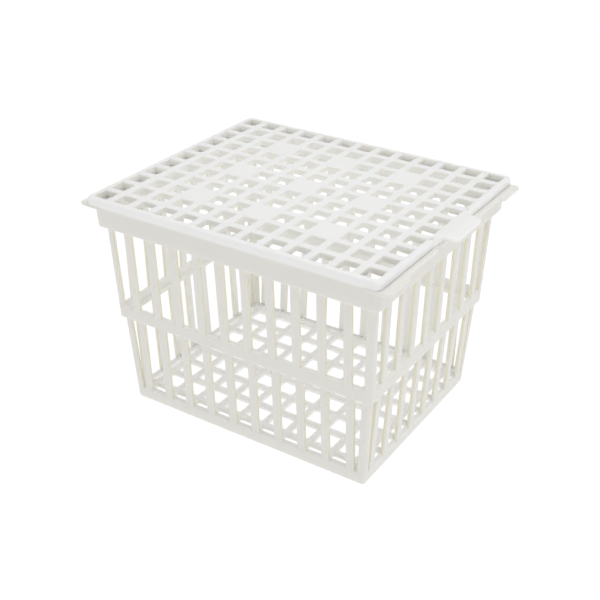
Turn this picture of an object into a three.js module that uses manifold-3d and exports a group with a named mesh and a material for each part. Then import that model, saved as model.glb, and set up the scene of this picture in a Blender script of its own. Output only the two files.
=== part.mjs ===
// A lidded slatted basket in white polypropylene: two mouldings, the basket and its hinged grid lid.
// Millimetres, +Z up. X runs across the basket, Y along it, and the lid's thumb tab faces -Y.
// The origin is the bottom centre of the whole object's box. The basket moulding is modelled as the
// sections it is made of (rim, four slatted walls, base), each its own solid, a hair's breadth apart.
import * as THREE from 'three';
import { mergeVertices } from 'three/addons/utils/BufferGeometryUtils.js';
import Module from 'manifold-3d';

const wasm = await Module();
wasm.setup();

// driving dimensions
const height = 116;                     // base to the top of the lid
const cellPitch = 12;                   // lid grid, centre to centre
const cellHole = 8.2;                   // square hole in the lid
const cellsAcross = 11;                 // holes along X
const cellsAlong = 13;                  // holes along Y
const solidCells = [-3, 0, 3];          // cells left closed, counted from the middle both ways
const lidHalf = [67, 79];               // half width, half length
const lidCorner = 2.4;
const lidSkirt = 3.9;                   // height of the lid's turned-down border
const lidGridThick = 3;
const lidBorder = 2.4;                  // wall of the turned-down border
const tabHalf = 13.9;                   // thumb tab, half width
const tabReach = 87.5;                  // its outer edge from the basket's middle
const tabThick = 2.2;
const tabCorner = 3.6;
const gap = 0.3;                        // clearance between neighbouring solids
const slatPitch = [13.3, 13.45];         // along X, along Y
const slatWidth = 4.1;
const wallThick = 1.9;
const flangeTop = height - lidSkirt - gap;
const flangeThick = 1.6;
const flangeHalf = [65.2, 77.7];
const stripReach = 81.6;                // flange strip beyond the lid on the short sides
const earReach = 83.7;                  // corner ears
const earOuter = 66.4;
const earInner = 47.6;
const earCorner = 3.5;
const notchHalf = 18;                   // the flange is cut away behind the tab and at the hinge
const bandBottom = 99.7;                // lower edge of the solid rim band
const bandHalf = [63.6, 77.5];
const bandThick = 2;
const bandCorner = 2.8;
const beltBottom = 48.9;                // belt half way up, where the wall steps inwards
const beltTop = 55.6;
const baseTop = 7.4;                    // top of the base ring
const baseHalf = [53.3, 68.1];
const baseThick = 2.3;
const baseCorner = 2;
const floorThick = 2.2;
const floorRib = 3.3;
const upperFoot = [57.8, 72.6];         // outer half sizes of the upper wall at the belt's lower edge
const upperHead = [60.6, 73.8];         // and under the rim band
const lowerHead = [55.9, 70.9];         // outer half sizes of the lower wall under the belt
const upperPost = 5.4;                  // width of the corner posts
const lowerPost = 4;
const hingeY = 80.4;                    // hinge bar in the rear notch of the flange
const hingeZ = 111.3;
const barRadius = 0.9;
const clipInner = 1.2;
const clipOuter = 2.2;
const clipWidth = 8;
const clipX = 10;                       // clip centres from the middle
const latchHalf = 11;                   // lip under the thumb tab that drops into the front notch

// materials
const basketPlastic = new THREE.MeshStandardMaterial({ color: 0xe9e7e1, roughness: 0.42, metalness: 0 });
const lidPlastic = new THREE.MeshStandardMaterial({ color: 0xf1f1ef, roughness: 0.4, metalness: 0 });

// turns a closed three.js geometry into a solid that can be joined and cut
function solid(geometry) {
  const bare = geometry.clone();
  bare.deleteAttribute('normal');
  bare.deleteAttribute('uv');
  const merged = mergeVertices(bare, 1e-4);
  return new wasm.Manifold(new wasm.Mesh({
    numProp: 3,
    vertProperties: new Float32Array(merged.attributes.position.array),
    triVerts: new Uint32Array(merged.index.array),
  }));
}

function joined(solids) {
  return solids.reduce((whole, piece) => whole.add(piece));
}

function named(name, shape, material) {
  const raw = shape.getMesh();
  const geometry = new THREE.BufferGeometry();
  geometry.setAttribute('position', new THREE.BufferAttribute(raw.vertProperties, 3));
  geometry.setIndex(new THREE.BufferAttribute(raw.triVerts, 1));
  geometry.computeVertexNormals();
  const mesh = new THREE.Mesh(geometry, material);
  mesh.name = name;
  return mesh;
}

// upright block between two corners
function block(low, high) {
  const size = high.map((value, axis) => value - low[axis]);
  const box = new THREE.BoxGeometry(...size);
  box.translate(...low.map((value, axis) => value + size[axis] / 2));
  return solid(box);
}

// flat plate with rounded corners in plan
function plate(low, high, corner, bottom, top) {
  const [x0, y0] = low;
  const [x1, y1] = high;
  const outline = new THREE.Shape();
  outline.absarc(x1 - corner, y0 + corner, corner, -Math.PI / 2, 0);
  outline.absarc(x1 - corner, y1 - corner, corner, 0, Math.PI / 2);
  outline.absarc(x0 + corner, y1 - corner, corner, Math.PI / 2, Math.PI);
  outline.absarc(x0 + corner, y0 + corner, corner, Math.PI, Math.PI * 1.5);
  const form = new THREE.ExtrudeGeometry(outline, { depth: top - bottom, bevelEnabled: false, curveSegments: 4 });
  form.translate(0, 0, bottom);
  return solid(form);
}

function centredPlate(half, corner, bottom, top) {
  return plate([-half[0], -half[1]], half, corner, bottom, top);
}

function ring(half, corner, thickness, bottom, top) {
  const inner = half.map((value) => value - thickness);
  const hole = centredPlate(inner, Math.max(corner - thickness, 0.6), bottom - 1, top + 1);
  return centredPlate(half, corner, bottom, top).subtract(hole);
}

// places of count slats, ribs or cells, centred on the middle
function spread(count, pitch) {
  return Array.from({ length: count }, (_, i) => (i - (count - 1) / 2) * pitch);
}

// half size of a leaning wall at a height, from its size at two heights
function leaning(low, lowZ, high, highZ) {
  return (z) => low + (high - low) * (z - lowZ) / (highZ - lowZ);
}

// The slab of a wall that faces -Y: its sides may lean, its outer face follows the wall, depth is inwards.
function slab(left, right, face, bottom, top, depth) {
  const box = new THREE.BoxGeometry(1, 1, 1);
  const place = box.attributes.position;
  for (let i = 0; i < place.count; i += 1) {
    const z = place.getZ(i) > 0 ? top : bottom;
    const x = place.getX(i) > 0 ? right(z) : left(z);
    const y = -face(z) + (place.getY(i) > 0 ? depth : 0);
    place.setXYZ(i, x, y, z);
  }
  return solid(box);
}

// One slatted wall facing -Y. across picks the axis it stands across, side the axis along it.
function wall(across, side, slats, inset) {
  const upperFace = leaning(upperFoot[across], beltBottom, upperHead[across], bandBottom);
  const lowerFace = leaning(baseHalf[across], 0, lowerHead[across], beltBottom);
  const upperEnd = leaning(upperFoot[side] - inset, beltBottom, upperHead[side] - inset, bandBottom);
  const lowerEnd = leaning(baseHalf[side] - inset, 0, lowerHead[side] - inset, beltBottom);
  const ledgeEnd = Math.min(lowerEnd(beltBottom), upperFoot[side] - wallThick - gap);
  const ledgeDepth = upperFoot[across] - lowerHead[across] + wallThick;
  const ledgeTop = beltBottom + wallThick;
  const rows = [
    { face: upperFace, end: upperEnd, bottom: beltTop - 0.2, top: bandBottom - gap, post: upperPost },
    { face: lowerFace, end: lowerEnd, bottom: baseTop + gap, top: beltBottom - gap, post: lowerPost },
  ];
  const solids = [
    slab((z) => -upperEnd(z), upperEnd, upperFace, beltBottom, beltTop, wallThick),
    slab(() => -ledgeEnd, () => ledgeEnd, upperFace, beltBottom, ledgeTop, ledgeDepth),
    slab(() => -ledgeEnd, () => ledgeEnd, lowerFace, beltBottom - 1.2, ledgeTop - 0.1, wallThick),
  ];
  for (const row of rows) {
    for (const centre of spread(slats, slatPitch[side])) {
      const edge = slatWidth / 2;
      solids.push(slab(() => centre - edge, () => centre + edge, row.face, row.bottom, row.top, wallThick));
    }
    for (const sign of [-1, 1]) {
      const outer = (z) => sign * row.end(z);
      const inner = (z) => sign * (row.end(z) - row.post + inset);
      const [left, right] = sign < 0 ? [outer, inner] : [inner, outer];
      solids.push(slab(left, right, row.face, row.bottom, row.top, wallThick));
    }
  }
  return joined(solids);
}

// outline of the flange, one quarter of it drawn and mirrored: notch, strip, corner ear, side
function flangeOutline() {
  const quarter = [
    [notchHalf, flangeHalf[1]],
    [notchHalf, stripReach],
    [earInner, stripReach],
    [earInner + 2, earReach],
  ];
  for (const step of [0, 1, 2, 3, 4]) {
    const angle = (1 - step / 4) * Math.PI / 2;
    const x = earOuter - earCorner * (1 - Math.cos(angle));
    quarter.push([x, earReach - earCorner * (1 - Math.sin(angle))]);
  }
  quarter.push([earOuter, flangeHalf[1] - 6], [flangeHalf[0], flangeHalf[1] - 7]);
  const half = [...quarter, ...quarter.map(([x, y]) => [x, -y]).reverse()];
  const full = [...half, ...half.map(([x, y]) => [-x, y]).reverse()];
  return new THREE.Shape(full.reverse().map(([x, y]) => new THREE.Vector2(x, y)));
}

// flange with its ears and notches, the solid band under it, and the bar that the lid's clips hold
function rim() {
  const flangeBottom = flangeTop - flangeThick;
  const flange = new THREE.ExtrudeGeometry(flangeOutline(), { depth: flangeThick, bevelEnabled: false });
  flange.translate(0, 0, flangeBottom);
  const within = bandHalf.map((value) => value - 1);
  const hole = centredPlate(within, bandCorner - 1, flangeBottom - 1, flangeTop + 1);
  const ledgeThick = bandHalf[1] - upperHead[1] + wallThick;
  const bar = new THREE.CylinderGeometry(barRadius, barRadius, notchHalf * 2, 12);
  bar.rotateZ(Math.PI / 2);
  bar.translate(0, hingeY, hingeZ);
  const lug = new THREE.CylinderGeometry(barRadius + 0.3, barRadius + 0.3, 3, 12);
  lug.rotateZ(Math.PI / 2);
  lug.translate(0, hingeY, hingeZ);
  const bosses = [-1, 1].map((side) => {
    const middle = side * (notchHalf + 1.1);
    const foot = block([middle - 1.5, bandHalf[1] - 1, flangeBottom - 0.6],
      [middle + 1.5, hingeY + 0.8, flangeBottom + 0.5]);
    return solid(lug).translate([middle, 0, 0]).add(foot);
  });
  return joined([
    solid(flange).subtract(hole),
    ring(bandHalf, bandCorner, bandThick, bandBottom, flangeTop),
    ring(within, bandCorner - 1, ledgeThick - 1, bandBottom, bandBottom + 1.6),
    ...bosses,
    solid(bar),
  ]);
}

// base ring with the floor's lattice of ribs near its top
function base() {
  const floorBottom = baseTop - floorThick;
  const reach = baseHalf.map((value) => value - baseThick / 2);
  const ribs = [ring(baseHalf, baseCorner, baseThick, 0, baseTop)];
  for (const x of spread(8, slatPitch[0])) {
    ribs.push(block([x - floorRib / 2, -reach[1], floorBottom], [x + floorRib / 2, reach[1], baseTop - 0.2]));
  }
  for (const y of spread(10, slatPitch[1])) {
    ribs.push(block([-reach[0], y - floorRib / 2, floorBottom], [reach[0], y + floorRib / 2, baseTop - 0.2]));
  }
  return joined(ribs);
}

// open ring of a clip round the hinge bar, with the foot that joins it to the lid's rear border
function clip(x) {
  const shape = new THREE.Shape();
  const from = -0.45 * Math.PI;
  const to = 1.05 * Math.PI;
  shape.absarc(0, 0, clipOuter, from, to, false);
  shape.absarc(0, 0, clipInner, to, from, true);
  const form = new THREE.ExtrudeGeometry(shape, { depth: clipWidth, bevelEnabled: false, curveSegments: 8 });
  form.rotateX(Math.PI / 2);
  form.rotateZ(Math.PI / 2);
  form.translate(x - clipWidth / 2, hingeY, hingeZ);
  const foot = block([x - clipWidth / 2, lidHalf[1] - 1.5, hingeZ + clipInner + 0.1],
    [x + clipWidth / 2, hingeY, hingeZ + clipOuter + 0.6]);
  return solid(form).add(foot);
}

// grid panel with its border, thumb tab, latch lip and the two hinge clips
function lid() {
  const bottom = height - lidSkirt;
  const inside = lidHalf.map((value) => value - lidBorder);
  const recess = centredPlate(inside, lidCorner - lidBorder / 2, bottom - 1, height - lidGridThick);
  const holes = [];
  spread(cellsAcross, cellPitch).forEach((x) => {
    spread(cellsAlong, cellPitch).forEach((y) => {
      const closed = solidCells.includes(x / cellPitch) && solidCells.includes(y / cellPitch);
      if (!closed) {
        const half = cellHole / 2;
        holes.push(block([x - half, y - half, bottom - 1], [x + half, y + half, height + 1]));
      }
    });
  });
  const tab = plate([-tabHalf, -tabReach], [tabHalf, -lidHalf[1] + tabCorner * 2], tabCorner, height - tabThick, height);
  const forward = block([-tabHalf - 1, -tabReach - 1, bottom - 1], [tabHalf + 1, -lidHalf[1] + 1, height + 1]);
  const latch = block([-latchHalf, -stripReach + 0.8, flangeTop - flangeThick], [latchHalf, -lidHalf[1] + 1, height - 1]);
  return joined([
    centredPlate(lidHalf, lidCorner, bottom, height).subtract(recess),
    tab.intersect(forward),
    latch,
    clip(-clipX),
    clip(clipX),
  ]).subtract(joined(holes));
}

const object = new THREE.Group();
const alongWall = 0;                     // index of X: the long walls stand across it
const acrossWall = 1;
const basketWalls = [
  ['wall_front', acrossWall, alongWall, 8, wallThick + gap, 0],
  ['wall_rear', acrossWall, alongWall, 8, wallThick + gap, Math.PI],
  ['wall_left', alongWall, acrossWall, 10, 0, -Math.PI / 2],
  ['wall_right', alongWall, acrossWall, 10, 0, Math.PI / 2],
];
for (const [name, across, side, slats, inset, turn] of basketWalls) {
  const panel = named(name, wall(across, side, slats, inset), basketPlastic);
  panel.rotation.z = turn;
  object.add(panel);
}
object.add(named('rim', rim(), basketPlastic));
object.add(named('base', base(), basketPlastic));
object.add(named('lid', lid(), lidPlastic));

// the tab in front reaches further than the ears behind, so the basket's middle stands behind the origin
object.position.y = (tabReach - earReach) / 2;

export default object;
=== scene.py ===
import math

import bmesh
import bpy
from mathutils import Matrix, Vector


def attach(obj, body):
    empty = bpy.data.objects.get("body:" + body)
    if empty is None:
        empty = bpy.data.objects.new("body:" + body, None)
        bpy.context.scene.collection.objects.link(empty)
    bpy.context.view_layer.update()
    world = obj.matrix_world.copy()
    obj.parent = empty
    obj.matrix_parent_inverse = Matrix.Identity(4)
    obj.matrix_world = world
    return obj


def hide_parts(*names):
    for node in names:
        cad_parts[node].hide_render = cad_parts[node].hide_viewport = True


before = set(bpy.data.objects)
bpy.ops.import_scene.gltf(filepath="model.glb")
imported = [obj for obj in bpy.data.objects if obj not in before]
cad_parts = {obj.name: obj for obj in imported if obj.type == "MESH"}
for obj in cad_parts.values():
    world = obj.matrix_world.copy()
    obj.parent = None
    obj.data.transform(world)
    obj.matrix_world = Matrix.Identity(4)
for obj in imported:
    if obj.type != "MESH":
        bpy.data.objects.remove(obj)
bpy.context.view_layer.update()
mm = 0.001       # sizes below are in millimetres, Blender works in metres
middleY = 1.9    # the basket's middle stands this far behind the origin


# camera: where it stands and how it is turned
cameraSetup = {
    "place": (-0.3935, -0.2491, 0.3138),
    "look": (0.7345, 0.4719, -0.4876),
    "right": (0.5427, -0.8399, 0.0047),
    "lens": 63.0,
    "sensor": 36.0,
}


def addCamera(setup):
    look = Vector(setup["look"]).normalized()
    up = Vector(setup["right"]).cross(look).normalized()
    right = look.cross(up)
    data = bpy.data.cameras.new("camera")
    data.lens = setup["lens"]
    data.sensor_width = setup["sensor"]
    data.clip_start = 0.01
    data.clip_end = 100
    camera = bpy.data.objects.new("camera", data)
    turn = Matrix((right, up, -look)).transposed().to_4x4()
    camera.matrix_world = Matrix.Translation(setup["place"]) @ turn
    bpy.context.scene.collection.objects.link(camera)
    bpy.context.scene.camera = camera


addCamera(cameraSetup)
print("camera placed")


# finishes: moulded polypropylene, with a painted warm tint for light passing through it and for shade on
# side faces, and a painted paler tint for the inside faces and the floor
basketFinish = {
    "light": (0.812, 0.802, 0.768),
    "dark": (0.786, 0.773, 0.733),
    # painted light and shade: warm tint for faces where light passes through the plastic or shade falls
    "paintedWarmLightAndShade": (0.850, 0.820, 0.690),
    "paintedInnerLight": (0.940, 0.935, 0.912),    # painted light: paler, for the inside faces and the floor
    "roughness": (0.34, 0.50),
    "softLight": 0.40,                     # how much light spreads inside the plastic
    "depth": 0.0032,                       # and how far, in metres
    "spread": (1.0, 0.92, 0.78),
    "grain": 0.10,
}
lidFinish = {
    "light": (0.912, 0.911, 0.903),
    "dark": (0.892, 0.890, 0.878),
    "paintedWarmLightAndShade": (0.945, 0.932, 0.885),
    "paintedInnerLight": (0.940, 0.936, 0.920),
    "roughness": (0.32, 0.47),
    "softLight": 0.50,
    "depth": 0.0038,
    "spread": (1.0, 0.94, 0.82),
    "grain": 0.08,
}


mouldSkin = {
    "ior": 1.49,
    "cloudScale": 38,                      # faint cloudiness of the melt
    "sheenScale": 120,
    "rippleScale": 70,                     # slow sink marks
    "rippleStrength": 0.25,
    "rippleHeight": 0.0003,
    "grainScale": 1500,                    # fine skin of the mould
    "grainHeight": 0.00008,
}


def mouldedPlastic(name, finish, skin):
    plastic = bpy.data.materials.new(name)
    plastic.use_nodes = True
    nodes, links = plastic.node_tree.nodes, plastic.node_tree.links
    shader = nodes["Principled BSDF"]
    shader.inputs["IOR"].default_value = skin["ior"]
    shader.inputs["Subsurface Weight"].default_value = finish["softLight"]
    shader.inputs["Subsurface Radius"].default_value = finish["spread"]
    shader.inputs["Subsurface Scale"].default_value = finish["depth"]
    where = nodes.new("ShaderNodeTexCoord")

    def noise(scale, detail):
        cloud = nodes.new("ShaderNodeTexNoise")
        cloud.inputs["Scale"].default_value = scale
        cloud.inputs["Detail"].default_value = detail
        links.new(where.outputs["Object"], cloud.inputs["Vector"])
        return cloud

    def blend(factor, first, second):
        mix = nodes.new("ShaderNodeMix")
        mix.data_type = "RGBA"
        links.new(factor, mix.inputs["Factor"])
        for socket, value in ((mix.inputs["A"], first), (mix.inputs["B"], second)):
            if isinstance(value, tuple):
                socket.default_value = (*value, 1)
            else:
                links.new(value, socket)
        return mix.outputs["Result"]

    flow = noise(skin["cloudScale"], 4)
    tone = blend(flow.outputs["Fac"], finish["light"], finish["dark"])
    for mark, tint in (("paintedInnerLight", "paintedInnerLight"), ("paintedWarmShare", "paintedWarmLightAndShade")):   # painted warm light and shade, and painted paler inside faces, stored on the faces
        stored = nodes.new("ShaderNodeAttribute")
        stored.attribute_name = mark
        tone = blend(stored.outputs["Fac"], tone, finish[tint])
    links.new(tone, shader.inputs["Base Color"])

    sheen = nodes.new("ShaderNodeMapRange")
    sheen.inputs["To Min"].default_value = finish["roughness"][0]
    sheen.inputs["To Max"].default_value = finish["roughness"][1]
    links.new(noise(skin["sheenScale"], 3).outputs["Fac"], sheen.inputs["Value"])
    links.new(sheen.outputs["Result"], shader.inputs["Roughness"])

    ripple = nodes.new("ShaderNodeBump")
    ripple.inputs["Strength"].default_value = skin["rippleStrength"]
    ripple.inputs["Distance"].default_value = skin["rippleHeight"]
    links.new(noise(skin["rippleScale"], 1).outputs["Fac"], ripple.inputs["Height"])
    grain = nodes.new("ShaderNodeBump")
    grain.inputs["Strength"].default_value = finish["grain"]
    grain.inputs["Distance"].default_value = skin["grainHeight"]
    links.new(noise(skin["grainScale"], 2).outputs["Fac"], grain.inputs["Height"])
    links.new(ripple.outputs["Normal"], grain.inputs["Normal"])
    links.new(grain.outputs["Normal"], shader.inputs["Normal"])
    return plastic


basketPlastic = mouldedPlastic("basketPlastic", basketFinish, mouldSkin)
lidPlastic = mouldedPlastic("lidPlastic", lidFinish, mouldSkin)
print("finishes made")


# shared mesh work
def arcPoints(centre, radius, start, end, steps):
    angles = [math.radians(start + (end - start) * i / steps) for i in range(steps + 1)]
    return [(centre[0] + radius * math.cos(a), centre[1] + radius * math.sin(a)) for a in angles]


def roundedPath(corners, steps=4):
    # corners are (x, y, radius); each one is turned into an arc
    path = []
    for i, (x, y, radius) in enumerate(corners):
        here = Vector((x, y))
        if radius == 0:
            path.append((x, y))
            continue
        back = (Vector(corners[i - 1][:2]) - here).normalized()
        ahead = (Vector(corners[(i + 1) % len(corners)][:2]) - here).normalized()
        half = back.angle(ahead) / 2
        centre = here + (back + ahead).normalized() * radius / math.sin(half)
        first = here + back * radius / math.tan(half) - centre
        last = here + ahead * radius / math.tan(half) - centre
        whole = math.atan2(first.x * last.y - first.y * last.x, first.dot(last))
        for j in range(steps + 1):
            angle = whole * j / steps
            spoke = Vector((first.x * math.cos(angle) - first.y * math.sin(angle),
                            first.x * math.sin(angle) + first.y * math.cos(angle)))
            path.append(tuple(centre + spoke))
    return path


def keyOf(point):
    return (round(point[0], 3), round(point[1], 3))


def solidFromPlan(plan, bottomAt, topAt, edgeSoftness, sidePaintedWarmShare, turn=None, paintedInnerLight=0.0):
    # plan is a list of flat polygons that share their corners; open edges become upright walls
    build = bmesh.new()
    soft = build.edges.layers.float.new("bevel_weight_edge")
    # face layers for painted warm light and shade, and for painted paler inside faces
    paintedWarmShare = build.faces.layers.float.new("paintedWarmShare")
    paintedInnerLightLayer = build.faces.layers.float.new("paintedInnerLight")
    corners = {}

    def corner(point, top):
        key = (*keyOf(point), top)
        if key not in corners:
            place = (point[0], point[1], topAt(*point) if top else bottomAt(*point))
            corners[key] = build.verts.new(Vector(turn(*place) if turn else place) * mm)
        return corners[key]

    uses = {}
    for polygon in plan:
        build.faces.new([corner(p, True) for p in polygon])[paintedInnerLightLayer] = paintedInnerLight
        build.faces.new([corner(p, False) for p in reversed(polygon)])
        for a, b in zip(polygon, polygon[1:] + polygon[:1]):
            uses.setdefault(frozenset((keyOf(a), keyOf(b))), []).append((a, b))
    for sides in uses.values():
        if len(sides) == 2:
            continue
        a, b = sides[0]
        ends = (b, True), (a, True), (a, False), (b, False)
        side = build.faces.new([corner(point, top) for point, top in ends])
        side[paintedWarmShare] = sidePaintedWarmShare(a, b)
        side[paintedInnerLightLayer] = paintedInnerLight
        for top in (True, False):
            edge = build.edges.get((corner(a, top), corner(b, top)))
            edge[soft] = edgeSoftness(a, b, top)
    bmesh.ops.recalc_face_normals(build, faces=build.faces)
    return build


def solidFromSide(plan, nearX, farX, softness, paintedWarmShare):
    # plan is drawn as (y, z) and stretched along X
    return solidFromPlan(plan, lambda y, z: nearX, lambda y, z: farX, lambda a, b, top: softness,
                         lambda a, b: paintedWarmShare, lambda y, z, x: (x, y, z))


def addPiece(name, build, plastic, body, nodes, edgeWidth, edgeSteps, byWeight=True):
    mesh = bpy.data.meshes.new(name)
    build.to_mesh(mesh)
    build.free()
    mesh.transform(Matrix.Translation((0, middleY * mm, 0)))
    mesh.materials.append(plastic)
    mesh.shade_smooth()
    piece = bpy.data.objects.new(name, mesh)
    bpy.context.scene.collection.objects.link(piece)
    edge = piece.modifiers.new("softEdges", "BEVEL")
    edge.limit_method = "WEIGHT" if byWeight else "ANGLE"
    edge.angle_limit = math.radians(35)
    edge.width = edgeWidth * mm
    edge.segments = edgeSteps
    edge.use_clamp_overlap = False
    edge.miter_outer = "MITER_SHARP"
    level = piece.modifiers.new("evenShading", "WEIGHTED_NORMAL")
    level.keep_sharp = False
    level.weight = 100
    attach(piece, body)
    if nodes:
        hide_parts(*nodes)


def gridPlan(xLines, yLines, xHoles, yHoles, closed, radius, steps, outlineRadius=0, extraX=()):
    # square cells side by side, each with a rounded hole; the outline can have rounded corners
    plan = []
    lastX, lastY = len(xLines) - 2, len(yLines) - 2
    for i in range(lastX + 1):
        for j in range(lastY + 1):
            x0, x1, y0, y1 = xLines[i], xLines[i + 1], yLines[j], yLines[j + 1]
            outer = [[(x0, y0)], [(x1, y0)], [(x1, y1)], [(x0, y1)]]
            ends = [(i == 0, j == 0), (i == lastX, j == 0), (i == lastX, j == lastY), (i == 0, j == lastY)]
            for k, (xEnd, yEnd) in enumerate(ends):
                if xEnd and yEnd and outlineRadius:
                    x, y = outer[k][0]
                    centre = (x - math.copysign(outlineRadius, x), y - math.copysign(outlineRadius, y))
                    outer[k] = arcPoints(centre, outlineRadius, 180 + 90 * k, 270 + 90 * k, 6)
            between = [[], [], [], []]
            if j == 0:
                between[0] = [(x, y0) for x in sorted(extraX) if x0 < x < x1]
            if j == lastY:
                between[2] = [(x, y1) for x in sorted(extraX, reverse=True) if x0 < x < x1]
            if (i, j) in closed:
                plan.append([p for k in range(4) for p in outer[k] + between[k]])
                continue
            (hx0, hx1), (hy0, hy1) = xHoles[i], yHoles[j]
            centres = [(hx0 + radius, hy0 + radius), (hx1 - radius, hy0 + radius),
                       (hx1 - radius, hy1 - radius), (hx0 + radius, hy1 - radius)]
            hole = [arcPoints(centres[k], radius, 180 + 90 * k, 270 + 90 * k, steps) for k in range(4)]
            for k in range(4):
                after = (k + 1) % 4
                plan.append(outer[k] + hole[k][::-1])
                plan.append([outer[k][-1], *between[k], outer[after][0], hole[after][0], hole[k][-1]])
    return plan


def mirrored(polygon):
    return [(x, -y) for x, y in reversed(polygon)]


# lid: grid panel with a rolled border and the thumb tab in front
lid = {
    "halfWidth": 67.0,
    "halfLength": 79.0,
    "outlineRadius": 3.0,
    "top": 116.0,
    "gridBottom": 113.0,
    "skirtBottom": 111.85,
    "pitch": 12.0,
    "hole": 8.1,
    "holeRadius": 0.9,
    "closedCells": (-3, 0, 3),
    "tabHalf": 13.9,
    "tabReach": 87.5,
    "tabBottom": 113.8,
    "tabRadius": 3.6,
    "tabRoot": 2.0,
    "tabSlope": 2.0,                       # the border's underside rises to the tab's within this
    "borderWidth": 4.0,                    # outline to the outer side of the last holes
    "outlineBand": 2.7,
    # painted shade on the border beside the tab, painted warm light on the hole walls
    "paintedShadeBesideTab": (12, 22),
    "holePaintedWarmShare": 0.8,
    "edge": 1.7,
}


def makeLid(size):
    columns, rows = range(-5, 6), range(-6, 7)
    pitch, halfHole = size["pitch"], size["hole"] / 2
    xLines = [-size["halfWidth"], *[(c + 0.5) * pitch for c in columns[:-1]], size["halfWidth"]]
    yLines = [-size["halfLength"], *[(r + 0.5) * pitch for r in rows[:-1]], size["halfLength"]]
    xHoles = [(c * pitch - halfHole, c * pitch + halfHole) for c in columns]
    yHoles = [(r * pitch - halfHole, r * pitch + halfHole) for r in rows]
    closed = {(i, j) for i, c in enumerate(columns) for j, r in enumerate(rows)
              if c in size["closedCells"] and r in size["closedCells"]}
    root = size["tabHalf"] + size["tabRoot"]
    plan = gridPlan(xLines, yLines, xHoles, yHoles, closed, size["holeRadius"], 3,
                    size["outlineRadius"], (-root, root))
    edgeY, reach, radius = -size["halfLength"], -size["tabReach"], size["tabRadius"]
    left = arcPoints((-root, edgeY - size["tabRoot"]), size["tabRoot"], 90, 0, 4)
    left += arcPoints((-size["tabHalf"] + radius, reach + radius), radius, 180, 270, 6)
    right = [(-x, y) for x, y in reversed(left)]
    shared = [(x, edgeY) for x in (pitch / 2, -pitch / 2)]
    tab = left + right + shared
    plan.append(tab)

    def nearEdge(a, b, distance):
        halves = size["halfWidth"] - distance, size["halfLength"] - distance
        return [min(abs(a[i]), abs(b[i])) > halves[i] for i in (0, 1)]

    def onOutline(a, b):
        return any(nearEdge(a, b, size["outlineBand"]))

    def bottomAt(x, y):
        grid, skirt, under = size["gridBottom"], size["skirtBottom"], size["tabBottom"]
        if y < -size["halfLength"] - 0.5:
            return skirt + (under - skirt) * min((-y - size["halfLength"]) / size["tabSlope"], 1)
        beyond = max(abs(x) - size["halfWidth"], abs(y) - size["halfLength"]) + size["borderWidth"]
        return grid + (skirt - grid) * min(max(beyond, 0), 1)

    def softness(a, b, top):
        if onOutline(a, b):
            onTab = min(a[1], b[1]) < -size["halfLength"] - 0.1
            return 0.5 if onTab else (1.0 if top else 0.3)
        atBorder = any(any(nearEdge(end, end, size["borderWidth"])) for end in (a, b))
        return 0.42 if top else (0.0 if atBorder else 0.2)

    # painted warm light on the hole walls, painted shade on the border beside the tab
    def paintedWarmLightAndShade(a, b):
        if onOutline(a, b):
            near, far = size["paintedShadeBesideTab"]
            besideTab = max(a[1], b[1]) < 1 - size["halfLength"] and near < abs(a[0]) < far
            return 0.6 if besideTab else 0.0
        return size["holePaintedWarmShare"]

    build = solidFromPlan(plan, bottomAt, lambda x, y: size["top"], softness, paintedWarmLightAndShade)
    addPiece("lidPanel", build, lidPlastic, "lid", ["lid"], size["edge"], 3)


makeLid(lid)
print("lid made")


# clips behind the lid's rear border and the latch lip under the thumb tab
lidFittings = {
    "hingeY": 80.4,
    "hingeZ": 111.3,
    "clipInner": 1.15,
    "clipOuter": 2.2,
    "clipWidth": 8.0,
    "clipCentres": (-10.0, 10.0),
    "footFront": 77.4,                     # inside the lid's border
    "footInset": 0.3,
    "latchHalf": 11.0,
    "latchBottom": 110.2,
    "latchTop": 114.2,                     # inside the lid's border
    "latchFront": -80.6,
    # painted warm light on the clips and the latch lip
    "latchBack": -78.4,
    "paintedWarmShare": 0.3,
    "edge": 0.3,
}


def makeLidFittings(size):
    y, z, paintedWarmShare = size["hingeY"], size["hingeZ"], size["paintedWarmShare"]
    half, inset, front = size["clipWidth"] / 2, size["footInset"], size["footFront"]
    for number, x in enumerate(size["clipCentres"], 1):
        outer = arcPoints((y, z), size["clipOuter"], -81, 189, 24)
        inner = arcPoints((y, z), size["clipInner"], -81, 189, 24)
        ring = [[inner[i], outer[i], outer[i + 1], inner[i + 1]] for i in range(24)]
        clip = solidFromSide(ring, x - half, x + half, 1.0, paintedWarmShare)
        outline = roundedPath([
            (front, z + 1.3, 0),
            (y, z + 1.3, 0),
            (y + 0.3, z + 2.1, 0.3),
            (y - 0.5, z + 2.8, 0.5),
            (front, z + 3.4, 0),
        ])
        foot = solidFromSide([outline], x - half + inset, x + half - inset, 0.6, paintedWarmShare)
        for name, build in ((f"hingeClip{number}", clip), (f"hingeClipFoot{number}", foot)):
            addPiece(name, build, lidPlastic, "lid", [], size["edge"], 2)
    top, bottom, front, back = (size[key] for key in ("latchTop", "latchBottom", "latchFront", "latchBack"))
    lip = roundedPath([
        (front, top, 0),
        (front, bottom + 1.6, 0.3),
        (front - 0.3, bottom + 1.0, 0.3),      # the hook
        (front + 0.3, bottom, 0.3),
        (back - 0.5, bottom, 0.3),
        (back, top, 0),
    ])
    build = solidFromSide([lip], -size["latchHalf"], size["latchHalf"], 1.0, paintedWarmShare)
    addPiece("latchLip", build, lidPlastic, "lid", [], size["edge"], 2)


makeLidFittings(lidFittings)
print("lid fittings made")


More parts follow.
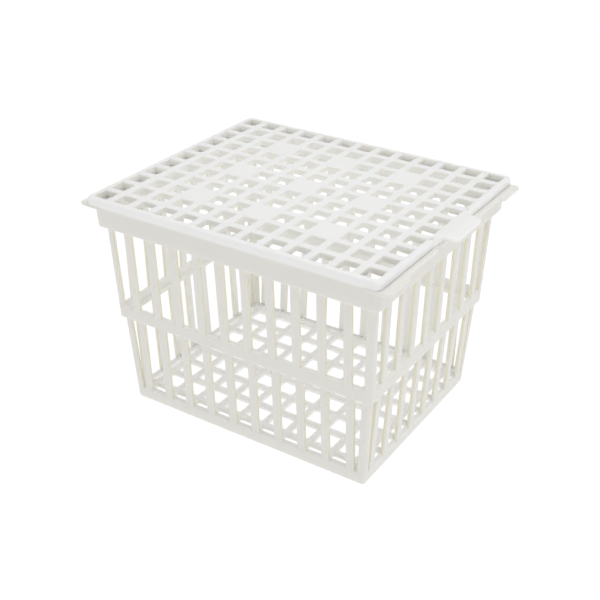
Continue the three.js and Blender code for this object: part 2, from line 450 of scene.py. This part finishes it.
# basket shell: slatted walls with belt, rim band and base, one continuous skin
shell = {
    "slatPitch": (13.3, 13.45),            # on the short walls, on the long walls
    "slatWidth": 4.25,
    "slatsAcross": 8,                      # on the short walls
    "slatsAlong": 10,                      # on the long walls
    "thick": 1.9,
    "lowerFoot": (53.3, 68.1),             # outer half sizes where the base stands
    "lowerHead": (55.9, 70.9),             # under the belt
    "upperFoot": (57.8, 72.6),             # at the belt's lower edge
    "upperHead": (60.6, 73.8),             # under the rim band
    "bandFoot": (63.2, 77.2),
    "bandHead": (63.9, 77.8),
    "sillOuter": 4.9,                      # lower windows start here outside
    "sillInner": 7.5,                      # and here inside
    "beltBottom": 48.9,
    "beltTop": 55.2,
    "beltTopInner": 56.3,
    "bandBottom": 99.7,
    "bandTop": 111.5,
    "upperPost": (3.8, 4.1),               # corner post's legs on the long and on the short walls
    "lowerPost": (4.0, 3.9),
    "lowerRadius": 1.8,
    "upperRadius": 2.3,
    "bandRadius": 3.2,
    "outerTint": (0.0, 0.0),               # how much painted warm light and shade and how much painted inner light each kind of face gets
    "innerTint": (0.1, 0.9),
    "undersideTint": (0.2, 0.0),
    "sillTint": (0.2, 0.8),
    "slatSideTint": (1.0, 0.0),
    "edge": 0.4,
}


def leaning(low, lowZ, high, highZ, z):
    share = (z - lowZ) / (highZ - lowZ)
    return tuple(a + (b - a) * share for a, b in zip(low, high))


def shellRows(size):
    # each row: outer half sizes and height, inner half sizes and height, post legs, corner radius
    thick = size["thick"]

    def lower(z):
        return leaning(size["lowerFoot"], 0, size["lowerHead"], size["beltBottom"], z)

    def upper(z):
        return leaning(size["upperFoot"], size["beltBottom"], size["upperHead"], size["bandBottom"], z)

    def band(z):
        return leaning(size["bandFoot"], size["bandBottom"], size["bandHead"], 111.8, z)

    def inside(half):
        return tuple(value - thick for value in half)

    belt, ledge = size["beltBottom"], size["beltBottom"] + thick
    bandZ, bandLedge, bandTop = size["bandBottom"], size["bandBottom"] + thick, size["bandTop"]
    sill, sillIn = size["sillOuter"], size["sillInner"]
    beltTop, beltTopIn = size["beltTop"], size["beltTopInner"]
    low = (size["lowerPost"], size["lowerRadius"])
    high = (size["upperPost"], size["upperRadius"])
    head = (size["upperPost"], size["bandRadius"])
    return [
        (lower(0), 0, inside(lower(0)), 0, *low),
        (lower(sill), sill, inside(lower(sillIn)), sillIn, *low),
        (lower(belt), belt, inside(lower(belt)), belt, *low),
        (upper(belt), belt, inside(lower(ledge)), ledge, *high),
        (upper(ledge), ledge, inside(upper(ledge)), ledge, *high),
        (upper(beltTop), beltTop, inside(upper(beltTopIn)), beltTopIn, *high),
        (upper(bandZ), bandZ, inside(upper(bandZ)), bandZ, *high),
        (band(bandZ), bandZ, inside(upper(bandLedge)), bandLedge, *head),
        (band(bandLedge), bandLedge, inside(band(bandLedge)), bandLedge, *head),
        (band(bandTop), bandTop, inside(band(bandTop)), bandTop, *head),
    ]


def loopPoints(size, half, reach, post, radius):
    # one turn round the basket, anticlockwise from above, starting on the front wall
    slats = {0: size["slatsAcross"], 1: size["slatsAlong"]}
    points, openings = [], []
    for wall in range(4):
        along = wall % 2
        count = slats[along]
        leg = post[1 - along]
        stops = [-(half[along] - radius), -(reach[along] - leg)]
        for i in range(count):
            centre = (i - (count - 1) / 2) * size["slatPitch"][along]
            stops += [centre - size["slatWidth"] / 2, centre + size["slatWidth"] / 2]
        stops += [reach[along] - leg, half[along] - radius]
        flags = [False, *[i % 2 == 0 for i in range(2 * count + 1)], False, False]
        across = half[1 - along]
        for s, flag in zip(stops, flags):
            points.append([(s, -across), (across, s), (-s, across), (-across, -s)][wall])
            openings.append(flag)
        x, y = half[0] - radius, half[1] - radius
        centre = [(x, -y), (x, y), (-x, y), (-x, -y)][wall]
        arc = arcPoints(centre, radius, -90 + 90 * wall, 90 * wall, 6)[1:-1]
        points += arc
        openings += [False] * len(arc)
    return points, openings


def makeShell(size):
    build = bmesh.new()
    paintedWarmShare = build.faces.layers.float.new("paintedWarmShare")
    paintedInnerLightLayer = build.faces.layers.float.new("paintedInnerLight")
    rows = shellRows(size)
    outside, inside = [], []
    for half, z, innerHalf, innerZ, post, radius in rows:
        ring, openings = loopPoints(size, half, half, post, radius)
        reach = tuple(value + size["thick"] for value in innerHalf)
        innerRing, _ = loopPoints(size, innerHalf, reach, post, max(radius - size["thick"], 0.5))
        outside.append([build.verts.new(Vector((x, y, z)) * mm) for x, y in ring])
        inside.append([build.verts.new(Vector((x, y, innerZ)) * mm) for x, y in innerRing])
    count = len(openings)
    windowRows = (1, 5)                    # the rows of cells that the slats and windows share

    def isOpen(row, column):
        return row < 0 or row >= len(rows) - 1 or row in windowRows and openings[column % count]

    def skin(corners, kind):
        face = build.faces.new(corners)
        # painted warm light and shade and painted paler inside, set by kind of face
        face[paintedWarmShare], face[paintedInnerLightLayer] = size[kind]

    for row in range(len(rows) - 1):
        for column in range(count):
            if isOpen(row, column):
                continue
            after = (column + 1) % count
            # corners of this cell: a and b below, c and d above, outside first and then inside
            a, b, c, d = (outside[row][column], outside[row][after],
                          outside[row + 1][after], outside[row + 1][column])
            e, f, g, h = (inside[row][column], inside[row][after],
                          inside[row + 1][after], inside[row + 1][column])
            skin([a, b, c, d], "outerTint")
            skin([f, e, h, g], "innerTint")
            if isOpen(row - 1, column):
                skin([b, a, e, f], "undersideTint")
            if isOpen(row + 1, column):
                skin([d, c, g, h], "sillTint")
            if isOpen(row, column - 1):
                skin([a, d, h, e], "slatSideTint")
            if isOpen(row, column + 1):
                skin([c, b, f, g], "slatSideTint")
    bmesh.ops.recalc_face_normals(build, faces=build.faces)
    walls = ["wall_front", "wall_rear", "wall_left", "wall_right"]
    addPiece("basketShell", build, basketPlastic, "basket", walls, size["edge"], 2, False)


makeShell(shell)
print("basket shell made")


# floor lattice, its ribs in line with the slats
floorLattice = {
    "top": 7.4,
    "bottom": 5.2,
    "rib": 3.3,
    "pitch": (13.3, 13.45),
    "ribsAcross": 8,
    "ribsAlong": 10,
    "reach": (52.3, 67.1),                 # ends inside the wall
    "wallInside": (51.7, 66.5),
    "holeRadius": 0.8,
    # painted warm light on the floor ribs
    "ribPaintedWarmShare": 0.1,
    "edge": 0.7,
}


def makeFloor(size):
    halfRib = size["rib"] / 2

    def lines(count, pitch, reach, wall):
        ribs = [(i - (count - 1) / 2) * pitch for i in range(count)]
        edges = [-reach, *ribs, reach]
        holes = [(a + halfRib, b - halfRib) for a, b in zip(edges, edges[1:])]
        holes[0] = (-wall, ribs[0] - halfRib)
        holes[-1] = (ribs[-1] + halfRib, wall)
        return edges, holes

    xLines, xHoles = lines(size["ribsAcross"], size["pitch"][0], size["reach"][0], size["wallInside"][0])
    yLines, yHoles = lines(size["ribsAlong"], size["pitch"][1], size["reach"][1], size["wallInside"][1])
    plan = gridPlan(xLines, yLines, xHoles, yHoles, set(), size["holeRadius"], 3)

    def softness(a, b, top):
        hidden = any(min(abs(a[i]), abs(b[i])) > size["wallInside"][i] + 0.3 for i in (0, 1))
        return 0.0 if hidden else (1.0 if top else 0.5)

    # the floor is painted paler all over, as painted light
    build = solidFromPlan(plan, lambda x, y: size["bottom"], lambda x, y: size["top"], softness,
                          lambda a, b: size["ribPaintedWarmShare"], paintedInnerLight=1.0)
    addPiece("basketFloor", build, basketPlastic, "basket", ["base"], size["edge"], 3)


makeFloor(floorLattice)
print("floor made")


# flange round the rim, with its corner ears, the notches front and rear, and the hinge bar
flange = {
    "top": 111.8,
    "bottom": 110.2,
    "sideHalf": 65.3,
    "notchReach": 77.85,
    "notchHalf": 18.0,
    "stripReach": 81.6,
    "earReach": 83.7,
    "earInner": 47.6,
    "earOuter": 66.4,
    "inside": (62.0, 75.9),
    "barRadius": 0.9,
    "barY": 80.4,
    "barZ": 111.3,
    "bossBack": 76.0,                      # inside the rim band
    "bossBase": 109.6,
    # painted warm light on the flange, the hinge bar and its bosses
    "paintedWarmShare": 0.1,
    "barPaintedWarmShare": 0.2,
    "edge": 0.45,
}


def makeFlange(size):
    outer = roundedPath([
        (0, size["notchReach"], 0),
        (size["notchHalf"], size["notchReach"], 1.2),
        (size["notchHalf"], size["stripReach"], 1.2),
        (size["earInner"] - 0.6, size["stripReach"], 1.0),
        (size["earInner"] + 0.8, size["earReach"], 1.0),
        (size["earOuter"], size["earReach"], 2.2),
        (size["earOuter"], 71.4, 0.5),
        (size["sideHalf"], 70.2, 0.5),
        (size["sideHalf"], 0, 0),
    ])
    x, y = size["inside"]
    inner = [(x, 0), *arcPoints((x - 1.8, y - 1.8), 1.8, 0, 90, 6), (0, y)]
    quarter = outer + inner
    plan = [quarter, mirrored(quarter)]
    plan += [[(-px, py) for px, py in reversed(polygon)] for polygon in plan]

    def softness(a, b, top):
        inward = all(abs(end[0]) < x + 0.1 and abs(end[1]) < y + 0.1 for end in (a, b))
        return 0.6 if inward else 1.0

    build = solidFromPlan(plan, lambda px, py: size["bottom"], lambda px, py: size["top"], softness,
                          lambda a, b: size["paintedWarmShare"])
    addPiece("rimFlange", build, basketPlastic, "basket", ["rim"], size["edge"], 3)

    barY, barZ, notch = size["barY"], size["barZ"], size["notchHalf"]
    bar = arcPoints((barY, barZ), size["barRadius"], 0, 360 - 15, 23)
    build = solidFromSide([bar], -notch - 1, notch + 1, 0.0, size["barPaintedWarmShare"])
    addPiece("hingeBar", build, basketPlastic, "basket", [], 0.2, 2)
    back, base, top = size["bossBack"], size["bossBase"], barZ + 1.2
    block = roundedPath([
        (back, base, 0),
        (barY + 1.2, base, 0.8),
        (barY + 1.25, top, 1.1),
        (barY - 1.25, top, 1.1),
        (barY - 1.3, base + 1.2, 0.2),
        (back, base + 1.2, 0),
    ])
    for number, side in enumerate((-1, 1), 1):
        near, far = sorted((side * (notch - 0.4), side * (notch + 2.6)))
        build = solidFromSide([block], near, far, 1.0, size["barPaintedWarmShare"])
        addPiece(f"hingeBoss{number}", build, basketPlastic, "basket", [], 0.3, 2)


makeFlange(flange)
print("flange and hinge bar made")


# floor, light and backdrop
studio = {
    "floorGlow": 0.955,
    "floorShade": 0.10,
    "skyStrength": 0.42,                   # overhead
    "horizonStrength": 0.98,
    "horizonEnds": (0.05, 0.30),           # how high the pale horizon starts and stops fading
    "floorSize": 40.0,
    "keyPower": 3.2,
    "keyPlace": (0.05, -0.55, 1.20),
    "keySize": 1.3,
    "topPower": 9.0,
    "topPlace": (0.0, 0.0, 1.4),
    "topSize": 1.6,
}


def addArea(name, place, power, size, target=(0, 0, 0.08)):
    data = bpy.data.lights.new(name, "AREA")
    data.energy = power
    data.size = size
    light = bpy.data.objects.new(name, data)
    light.location = place
    light.rotation_euler = (Vector(target) - Vector(place)).to_track_quat("-Z", "Y").to_euler()
    bpy.context.scene.collection.objects.link(light)


def addStudio(setup):
    paper = bpy.data.materials.new("paleFloor")
    paper.use_nodes = True
    nodes, links = paper.node_tree.nodes, paper.node_tree.links
    paper.cycles.emission_sampling = "NONE"
    nodes.clear()
    output = nodes.new("ShaderNodeOutputMaterial")
    both = nodes.new("ShaderNodeAddShader")
    glow = nodes.new("ShaderNodeEmission")
    glow.inputs["Strength"].default_value = setup["floorGlow"]
    matt = nodes.new("ShaderNodeBsdfDiffuse")
    matt.inputs["Color"].default_value = (setup["floorShade"],) * 3 + (1,)
    links.new(glow.outputs[0], both.inputs[0])
    links.new(matt.outputs[0], both.inputs[1])
    links.new(both.outputs[0], output.inputs["Surface"])
    build = bmesh.new()
    bmesh.ops.create_grid(build, x_segments=8, y_segments=8, size=setup["floorSize"])
    mesh = bpy.data.meshes.new("studioFloor")
    build.to_mesh(mesh)
    build.free()
    mesh.materials.append(paper)
    ground = bpy.data.objects.new("studioFloor", mesh)
    ground.location.z = -0.0002
    bpy.context.scene.collection.objects.link(ground)

    sky = bpy.data.worlds.new("softSky")
    sky.use_nodes = True
    background = sky.node_tree.nodes["Background"]
    background.inputs["Color"].default_value = (1, 1, 1, 1)
    nodes, links = sky.node_tree.nodes, sky.node_tree.links
    direction = nodes.new("ShaderNodeTexCoord")
    split = nodes.new("ShaderNodeSeparateXYZ")
    fade = nodes.new("ShaderNodeMapRange")
    fade.inputs["From Min"].default_value = setup["horizonEnds"][0]
    fade.inputs["From Max"].default_value = setup["horizonEnds"][1]
    fade.inputs["To Min"].default_value = setup["horizonStrength"]
    fade.inputs["To Max"].default_value = setup["skyStrength"]
    links.new(direction.outputs["Generated"], split.inputs["Vector"])
    links.new(split.outputs["Z"], fade.inputs["Value"])
    links.new(fade.outputs["Result"], background.inputs["Strength"])
    bpy.context.scene.world = sky
    addArea("keyLight", setup["keyPlace"], setup["keyPower"], setup["keySize"])
    addArea("topLight", setup["topPlace"], setup["topPower"], setup["topSize"])


addStudio(studio)
bpy.context.scene.view_settings.view_transform = "Standard"
print("studio made")
